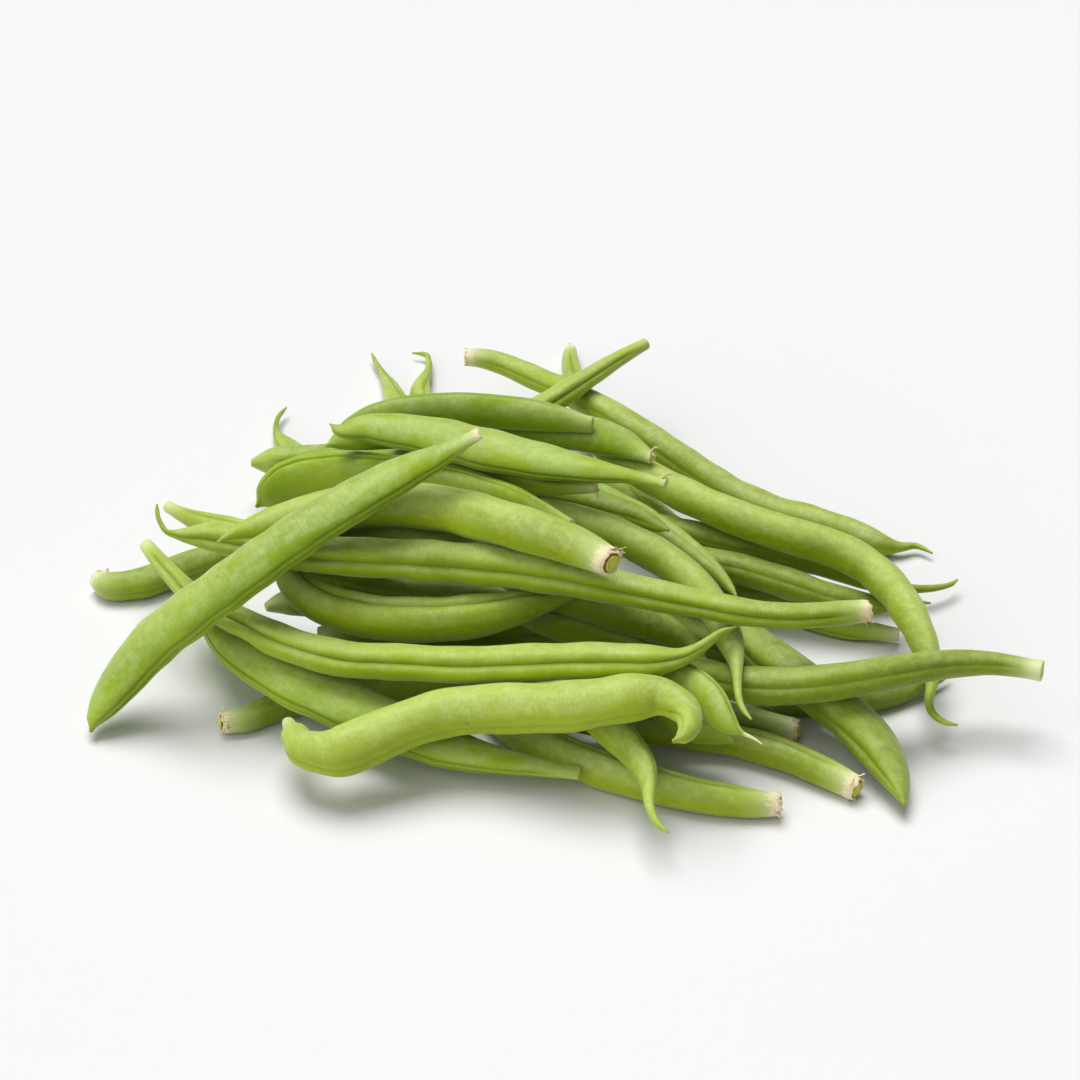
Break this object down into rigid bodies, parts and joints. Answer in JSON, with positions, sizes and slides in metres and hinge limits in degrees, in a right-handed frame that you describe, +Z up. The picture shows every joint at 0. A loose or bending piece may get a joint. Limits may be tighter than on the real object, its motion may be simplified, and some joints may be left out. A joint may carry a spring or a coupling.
{
  "type": "green bean bundle",
  "caption": "Loose heap of fresh green beans lying across each other, some round and some flat, with cut stem ends, curled tails and a groove along each seam.",
  "frame": {"origin": "centre of the heap's bounding box, at the level of the surface it lies on", "axes": "+Z up from the surface, +Y toward the back of the heap, +X to the right seen from the front"},
  "size_m": [0.1926, 0.1966, 0.0538],
  "materials": {
    "pod_light": "satin",
    "pod_deep": "satin",
    "pod_flat": "satin"
  },
  "bodies": {
    "root": {"pod_base_gap": "pod_deep", "pod_base_mid": "pod_deep", "pod_base_back": "pod_deep", "pod_base_right": "pod_deep", "pod_front_low": "pod_deep", "pod_left_low": "pod_deep", "pod_front_cut": "pod_light", "pod_shaded_cut": "pod_deep", "pod_right_cut": "pod_light", "pod_right_under": "pod_deep", "pod_corner": "pod_deep", "pod_right_stub": "pod_light", "pod_back_upright": "pod_light", "pod_back_long": "pod_light", "pod_right_tail": "pod_deep", "pod_right_mid": "pod_deep", "pod_back_tail_left": "pod_light", "pod_back_tail_right": "pod_light", "pod_left_tail": "pod_light", "pod_nook": "pod_deep", "pod_gap_low": "pod_deep", "pod_core_low": "pod_deep", "pod_core": "pod_deep", "pod_left_stub": "pod_light", "pod_gap_high": "pod_deep", "pod_right_inner": "pod_light", "pod_right_arch": "pod_light", "pod_right_reach": "pod_deep", "pod_left_round": "pod_flat", "pod_back_cross": "pod_light", "pod_gap_top": "pod_deep", "pod_right_hook": "pod_light", "pod_top_short": "pod_light", "pod_top_arc": "pod_flat", "pod_top_back": "pod_flat", "pod_top_dark": "pod_flat", "pod_top_long": "pod_flat", "pod_curved": "pod_light", "pod_broad": "pod_flat", "pod_small_curl": "pod_light", "pod_hanging_tail": "pod_light", "pod_papery_tail": "pod_flat", "pod_long_upper": "pod_light", "pod_long_lower": "pod_light", "pod_front_thick": "pod_light", "pod_cut_face": "pod_light", "pod_top_diagonal": "pod_flat"}
  },
  "joints": []
}
